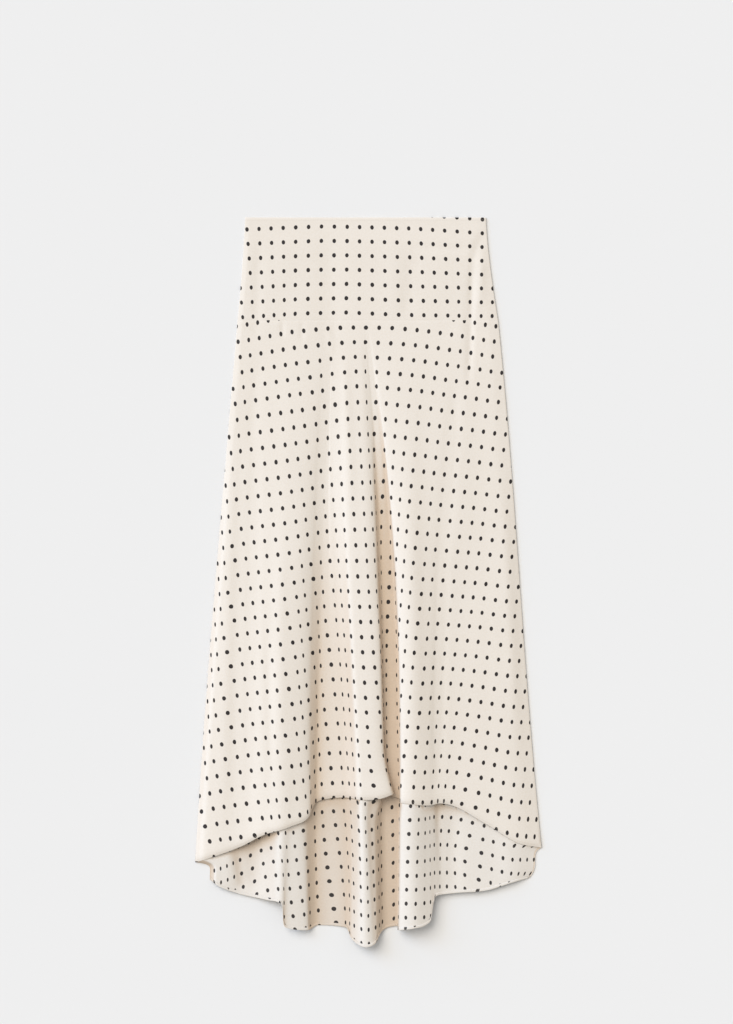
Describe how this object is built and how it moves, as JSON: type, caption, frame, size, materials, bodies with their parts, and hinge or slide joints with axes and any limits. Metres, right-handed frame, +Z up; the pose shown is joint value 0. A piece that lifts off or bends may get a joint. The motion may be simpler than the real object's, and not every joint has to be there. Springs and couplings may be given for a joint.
{
  "type": "asymmetric skirt",
  "caption": "Long flared skirt laid flat with its front up, with a straight hip yoke, a short front hem and a long back hem, in cream cloth with small dark dots.",
  "frame": {"origin": "on the surface that the skirt lies on, under the middle of its box", "axes": "+X to the viewer's right across the skirt, +Y from the hems to the waist, +Z up through the layers, front side up"},
  "size_m": [0.5015, 1.056, 0.0244],
  "materials": {
    "dotted_crepe_front": "soft cream crepe with small near-black dots, slight sheen",
    "dotted_crepe_back": "the same cloth, of which the inner side shows below the front hem"
  },
  "bodies": {
    "root": {"front_yoke": "dotted_crepe_front", "back_yoke": "dotted_crepe_back", "front_skirt": "dotted_crepe_front", "back_skirt": "dotted_crepe_back"}
  },
  "joints": []
}
